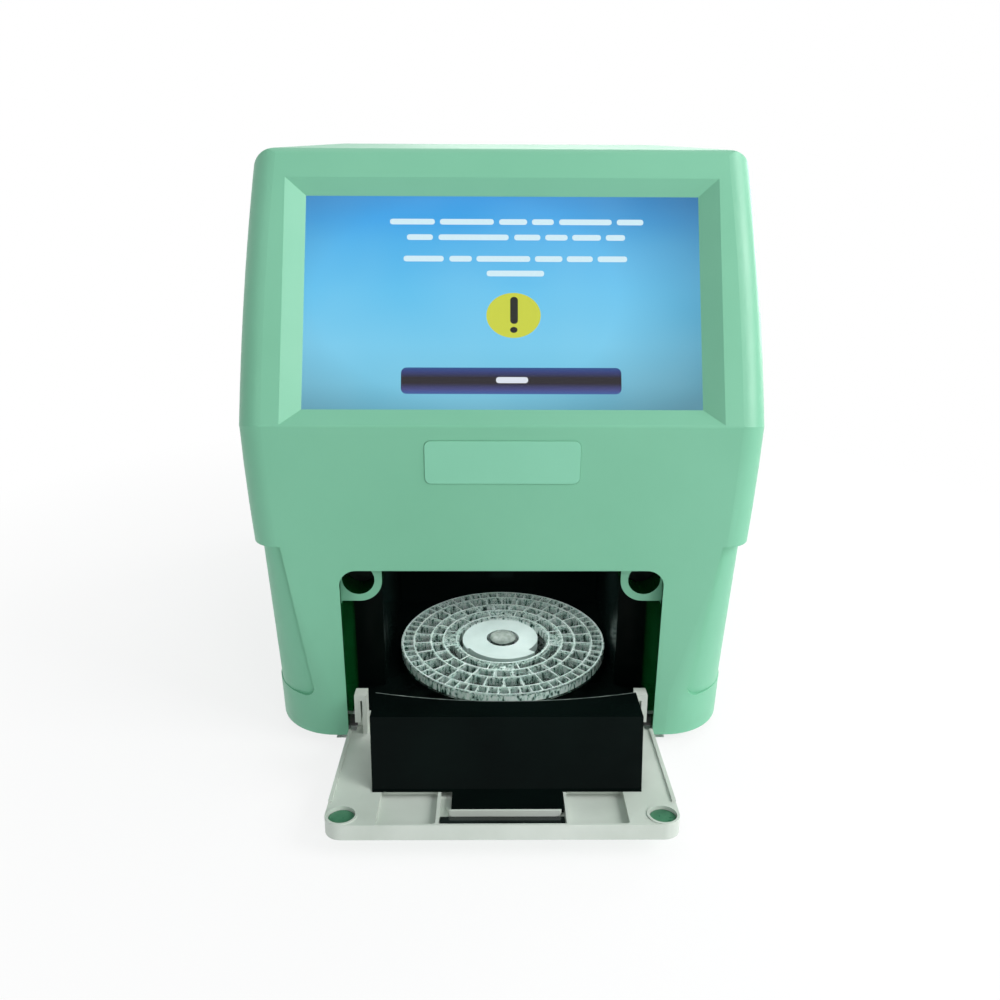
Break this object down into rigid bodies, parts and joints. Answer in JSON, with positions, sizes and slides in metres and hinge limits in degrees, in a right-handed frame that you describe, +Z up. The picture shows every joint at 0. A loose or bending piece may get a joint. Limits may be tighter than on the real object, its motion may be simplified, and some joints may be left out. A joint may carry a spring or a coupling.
{
  "type": "benchtop chemistry analyzer",
  "caption": "Benchtop analyzer with a sloping touch screen, a fold-down front door and a clear reagent disc on a spindle inside.",
  "frame": {"origin": "on the table top under the middle of the whole analyzer, its door open as drawn", "axes": "+Z up, +Y rearwards, +X to the right seen from the front"},
  "size_m": [0.2044, 0.3348, 0.2413],
  "materials": {
    "casing": "satin mint green",
    "liner": "satin off-white",
    "black": "satin black",
    "mint_dark": "mint green, shaded",
    "glass": "polished cover glass",
    "display": "lit display",
    "clear": "clear moulded disc",
    "frosted": "frosted white",
    "steel": "brushed",
    "zinc": "zinc plated",
    "aluminium": "machined",
    "rubber": "moulded",
    "board": "solder mask",
    "rear": "mint green, textured",
    "magnet": "nickel plated, dark",
    "dark": "moulded black"
  },
  "bodies": {
    "casing": {"housing": "casing", "rear_panel": "rear", "base_plate": "steel", "rubber_feet": "rubber", "base_screws": "zinc", "rear_screws": "zinc", "name_plate": "casing", "touch_glass": "glass", "lcd_module": "display", "screen_clamps": "steel", "clamp_screws": "zinc", "disc_chamber": "black", "heater_plate": "aluminium", "photometer": "dark", "lamp_module": "aluminium", "spindle_motor": "dark", "catch_magnets": "magnet", "hinge_pins": "dark", "main_board": "board", "board_posts": "zinc", "board_screws": "zinc", "power_supply": "steel", "fan_frame": "dark", "fan_screws": "zinc", "power_inlet": "dark", "switch_frame": "dark", "data_ports": "dark"},
    "door": {"door_panel": "casing", "door_liner": "liner", "light_shield": "black", "shield_screws": "zinc", "catch_plates": "mint_dark", "glide_strip": "black"},
    "spindle": {"turntable": "dark", "spindle_hub": "aluminium"},
    "disc": {"disc_base": "clear", "disc_lid": "clear", "disc_core": "frosted"},
    "fan": {"fan_rotor": "dark"},
    "switch": {"switch_rocker": "dark"}
  },
  "joints": [
    {"name": "door_hinge", "type": "hinge", "parent": "casing", "child": "door", "pos_m": [0, -0.09185, 0.0072], "axis": [-1, 0, 0], "range_deg": [0, 84.3]},
    {"name": "spindle_turn", "type": "hinge", "parent": "casing", "child": "spindle", "pos_m": [0.0015, -0.03835, 0.012], "axis": [0, 0, 1], "continuous": true},
    {"name": "disc_lift", "type": "slide", "parent": "spindle", "child": "disc", "axis": [0, 0, 1], "range_m": [0, 0.009]},
    {"name": "fan_turn", "type": "hinge", "parent": "casing", "child": "fan", "pos_m": [0.03, 0.15275, 0.125], "axis": [0, 1, 0], "continuous": true},
    {"name": "power_switch", "type": "hinge", "parent": "casing", "child": "switch", "pos_m": [-0.016, 0.16325, 0.048], "axis": [-1, 0, 0], "range_deg": [0, 14]}
  ]
}
